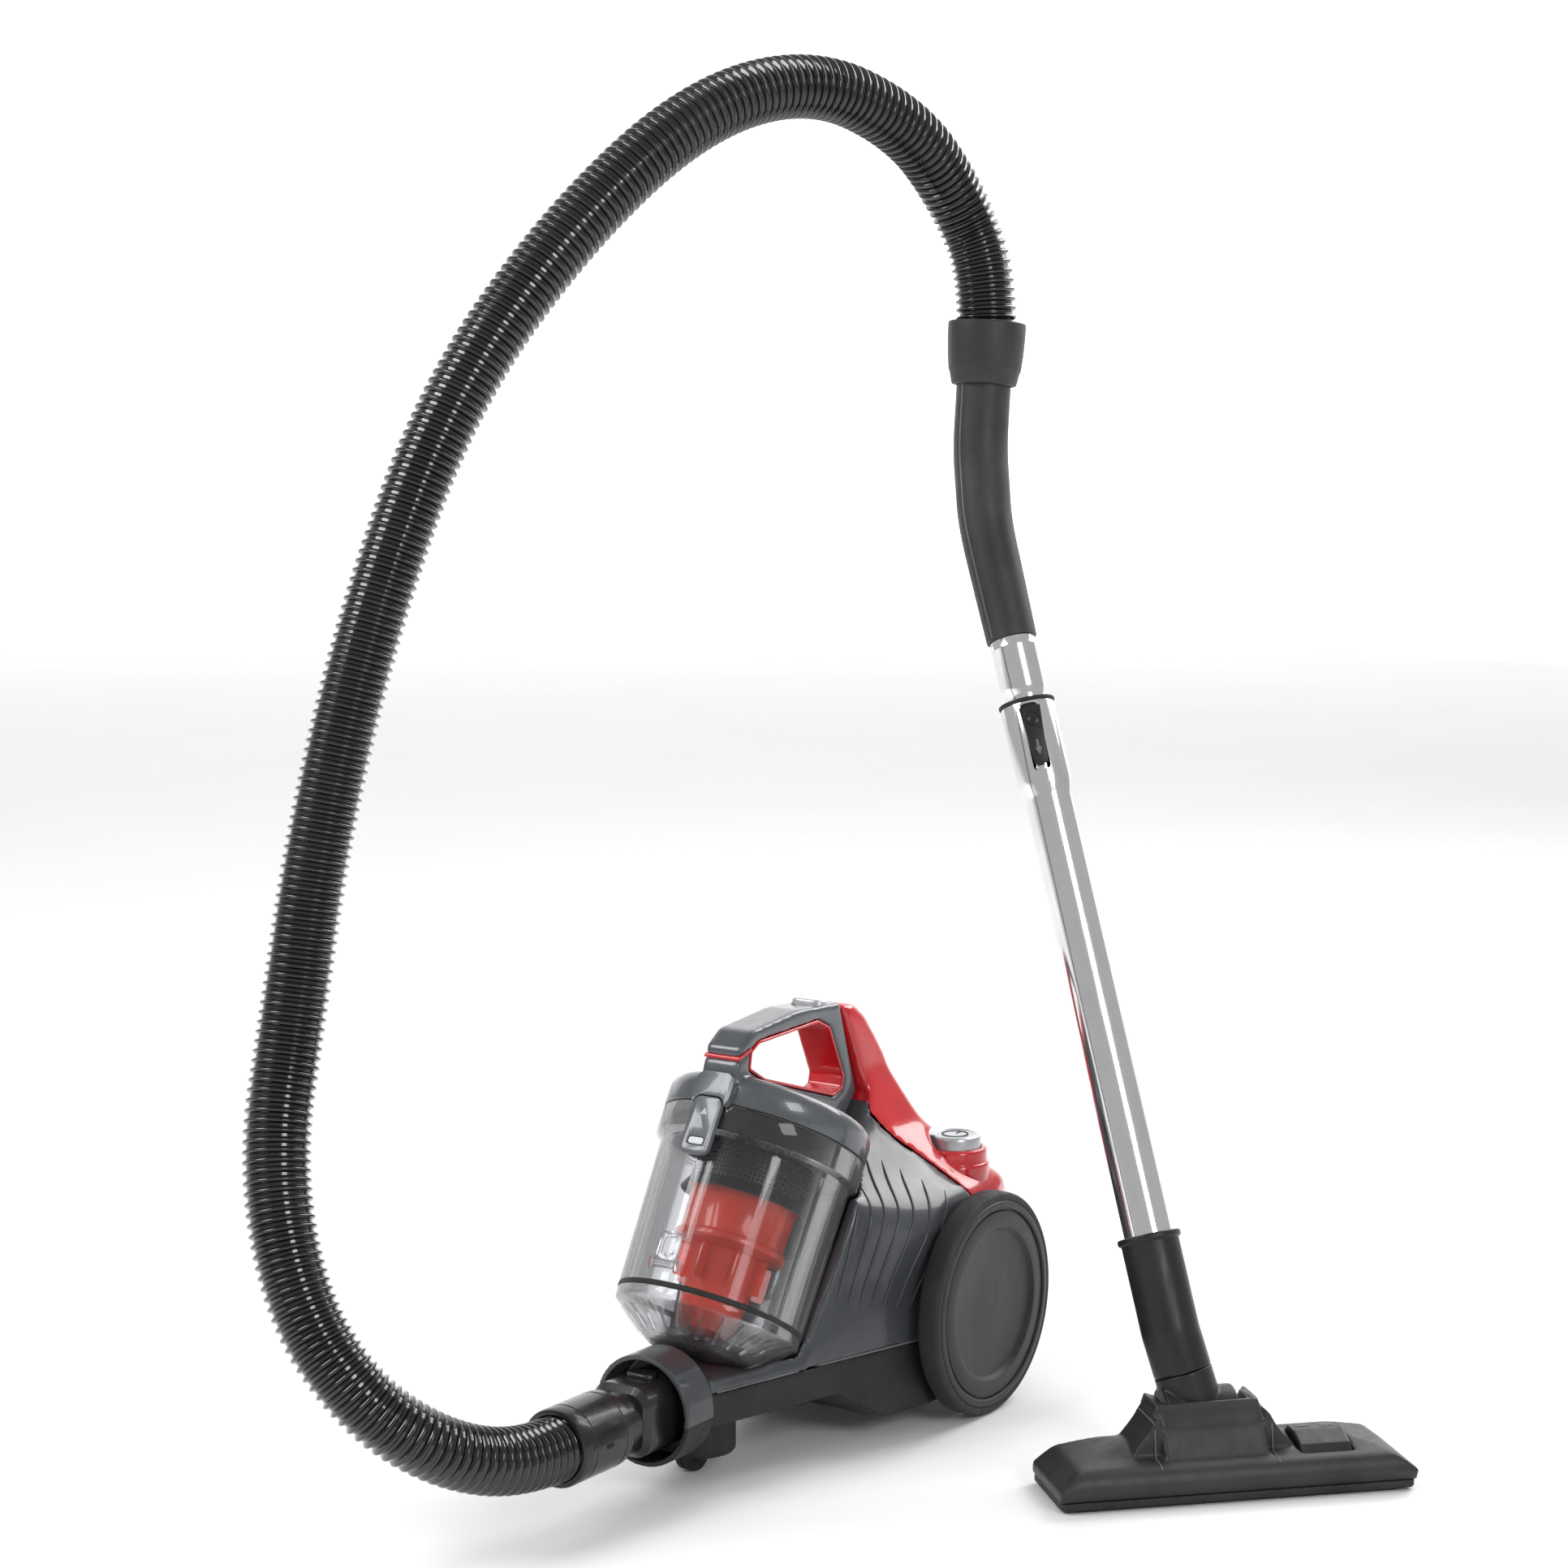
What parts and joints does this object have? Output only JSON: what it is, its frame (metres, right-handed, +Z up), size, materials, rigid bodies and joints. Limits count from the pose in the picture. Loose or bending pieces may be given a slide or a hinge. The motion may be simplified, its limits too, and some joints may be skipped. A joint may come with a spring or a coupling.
{
  "type": "canister vacuum cleaner",
  "caption": "Bagless canister vacuum cleaner on wheels with a clear dust cup, corrugated hose, bent hand grip, telescopic tube and floor head.",
  "frame": {"origin": "on the floor, in the middle of the footprint of everything but the hose", "axes": "+Z up; -Y the way the canister's nose points; +X to the canister's left, where the tube and floor head stand"},
  "size_m": [0.6311, 0.67, 1.0321],
  "materials": {
    "body_black": "satin",
    "shell_dark": "gloss",
    "cover_red": "gloss",
    "cup_clear": "clear moulded plastic",
    "cone_red": "translucent gloss",
    "lid_grey": "metallic gloss",
    "silver": "silver paint",
    "wheel_black": "satin",
    "soft_black": "matte",
    "hose_black": "gloss",
    "grip_grey": "satin",
    "tube_chrome": "polished",
    "steel": "brushed",
    "copper_core": "wound",
    "foam": "open foam",
    "paper": "pleated",
    "bristle": "brush",
    "board_green": "circuit board"
  },
  "bodies": {
    "canister": {"base_tray": "body_black", "side_shell": "shell_dark", "rear_cover": "cover_red", "inlet_collar": "body_black", "collar_hood": "shell_dark", "inlet_duct": "body_black", "outlet_duct": "body_black", "motor_housing": "body_black", "motor_stator": "copper_core", "motor_mounts": "soft_black", "reel_bracket": "body_black", "cord_outlet": "soft_black", "exhaust_grille": "shell_dark", "exhaust_filter": "paper", "control_board": "board_green", "stub_axles": "steel", "hose_connector": "hose_black", "hose": "hose_black", "handle_grip": "grip_grey", "inner_tube": "tube_chrome"},
    "left_wheel_set": {"left_wheel": "wheel_black", "left_tread": "soft_black"},
    "right_wheel_set": {"right_wheel": "wheel_black", "right_tread": "soft_black"},
    "caster": {"caster_fork": "body_black"},
    "caster_roller": {"caster_wheel": "soft_black"},
    "motor": {"motor_rotor": "steel", "fan_wheel": "body_black"},
    "reel": {"cord_reel": "body_black"},
    "power_pedal_set": {"power_pedal": "silver"},
    "rewind_pedal_set": {"rewind_pedal": "silver"},
    "connector_key": {"connector_button": "hose_black"},
    "cuff": {"hose_cuff": "hose_black"},
    "collar": {"grip_collar": "grip_grey"},
    "cup": {"dust_cup": "cup_clear", "bottom_door": "cup_clear", "door_seal": "soft_black", "cup_lid": "lid_grey", "lid_seal": "soft_black", "handle_band": "cover_red", "handle_liner": "cover_red", "mesh_shroud": "body_black", "cyclone_cone": "cone_red", "foam_filter": "foam"},
    "cup_door_catch": {"door_catch": "cup_clear"},
    "cup_lid_catch": {"lid_catch": "lid_grey"},
    "handle_button": {"release_button": "silver"},
    "wand": {"outer_tube": "tube_chrome", "tube_ring": "soft_black", "neck": "body_black"},
    "lock": {"tube_lock": "body_black"},
    "elbow_joint": {"elbow": "body_black"},
    "head": {"head_cover": "body_black", "head_sole": "body_black", "elbow_pin": "steel"},
    "rocker": {"head_pedal": "body_black"},
    "brushes": {"brush_carrier": "bristle"},
    "left_roller_set": {"left_roller": "soft_black"},
    "right_roller_set": {"right_roller": "soft_black"}
  },
  "joints": [
    {"name": "left_wheel_spin", "type": "hinge", "parent": "canister", "child": "left_wheel_set", "pos_m": [-0.0648, 0.1515, 0.0865], "axis": [1, 0, 0], "continuous": true},
    {"name": "right_wheel_spin", "type": "hinge", "parent": "canister", "child": "right_wheel_set", "pos_m": [-0.2808, 0.1515, 0.0865], "axis": [1, 0, 0], "continuous": true},
    {"name": "caster_swivel", "type": "hinge", "parent": "canister", "child": "caster", "pos_m": [-0.1728, -0.0815, 0.035], "axis": [0, 0, 1], "continuous": true},
    {"name": "caster_roll", "type": "hinge", "parent": "caster", "child": "caster_roller", "pos_m": [-0.1728, -0.0875, 0.013], "axis": [1, 0, 0], "continuous": true},
    {"name": "motor_spin", "type": "hinge", "parent": "canister", "child": "motor", "pos_m": [-0.1968, 0.1335, 0.084], "axis": [0, 1, 0], "continuous": true},
    {"name": "reel_spin", "type": "hinge", "parent": "canister", "child": "reel", "pos_m": [-0.1168, 0.1655, 0.086], "axis": [1, 0, 0], "continuous": true},
    {"name": "power_press", "type": "slide", "parent": "canister", "child": "power_pedal_set", "axis": [0, 0, -1], "range_m": [0, 0.004], "stiffness_N_per_m": 900, "springref_m": -0.003},
    {"name": "rewind_press", "type": "slide", "parent": "canister", "child": "rewind_pedal_set", "axis": [0, 0, -1], "range_m": [0, 0.004], "stiffness_N_per_m": 900, "springref_m": -0.003},
    {"name": "connector_press", "type": "slide", "parent": "canister", "child": "connector_key", "axis": [0, 0, -1], "range_m": [0, 0.0018], "stiffness_N_per_m": 600, "springref_m": -0.002},
    {"name": "cuff_swivel", "type": "hinge", "parent": "canister", "child": "cuff", "pos_m": [-0.1728, -0.2225, 0.06], "axis": [0, 1, 0], "continuous": true},
    {"name": "grip_swivel", "type": "hinge", "parent": "canister", "child": "collar", "pos_m": [-0.1078, 0.2135, 0.812], "axis": [0, 0.0995, 0.995], "continuous": true},
    {"name": "cup_lift", "type": "slide", "parent": "canister", "child": "cup", "axis": [0, -0.5299, 0.848], "range_m": [0, 0.2]},
    {"name": "button_press", "type": "slide", "parent": "cup", "child": "handle_button", "axis": [0, -0.1961, -0.9806], "range_m": [0, 0.0025], "stiffness_N_per_m": 600, "springref_m": -0.002},
    {"name": "lid_catch_pivot", "type": "hinge", "parent": "cup", "child": "cup_lid_catch", "pos_m": [-0.1728, -0.06308, 0.27288], "axis": [1, 0, 0], "range_deg": [-15, 0], "stiffness_Nm_per_rad": 0.05, "springref_deg": 17.19},
    {"name": "door_catch_pivot", "type": "hinge", "parent": "cup", "child": "cup_door_catch", "pos_m": [-0.1728, -0.12112, 0.1625], "axis": [1, 0, 0], "range_deg": [0, 20], "stiffness_Nm_per_rad": 0.05, "springref_deg": -17.19},
    {"name": "tube_slide", "type": "slide", "parent": "canister", "child": "wand", "axis": [0.3474, -0.1506, -0.9256], "range_m": [0, 0.3]},
    {"name": "lock_slide", "type": "slide", "parent": "wand", "child": "lock", "axis": [-0.3474, 0.1506, 0.9256], "range_m": [0, 0.004], "stiffness_N_per_m": 500, "springref_m": -0.002},
    {"name": "elbow_swivel", "type": "hinge", "parent": "wand", "child": "elbow_joint", "pos_m": [0.14156, 0.10386, 0.046], "axis": [-0.339, -0.0118, 0.9407], "range_deg": [-60, 60]},
    {"name": "head_pitch", "type": "hinge", "parent": "elbow_joint", "child": "head", "pos_m": [0.14156, 0.10386, 0.046], "axis": [0.6959, 0.7181, 0], "range_deg": [-8, 45]},
    {"name": "pedal_rock", "type": "hinge", "parent": "head", "child": "rocker", "pos_m": [0.22012, 0.14469, 0.027], "axis": [0.6959, 0.7181, 0], "range_deg": [0, 5]},
    {"name": "brush_drop", "type": "slide", "parent": "head", "child": "brushes", "axis": [0, 0, -1], "range_m": [0, 0.003]},
    {"name": "left_roller_spin", "type": "hinge", "parent": "head", "child": "left_roller_set", "pos_m": [0.22736, 0.17946, 0.0045], "axis": [0.6959, 0.7181, 0], "continuous": true},
    {"name": "right_roller_spin", "type": "hinge", "parent": "head", "child": "right_roller_set", "pos_m": [0.08817, 0.03583, 0.0045], "axis": [0.6959, 0.7181, 0], "continuous": true}
  ],
  "couplings": [
    {"joint": "brush_drop", "follows": "pedal_rock", "m_per_rad": 0.034}
  ]
}
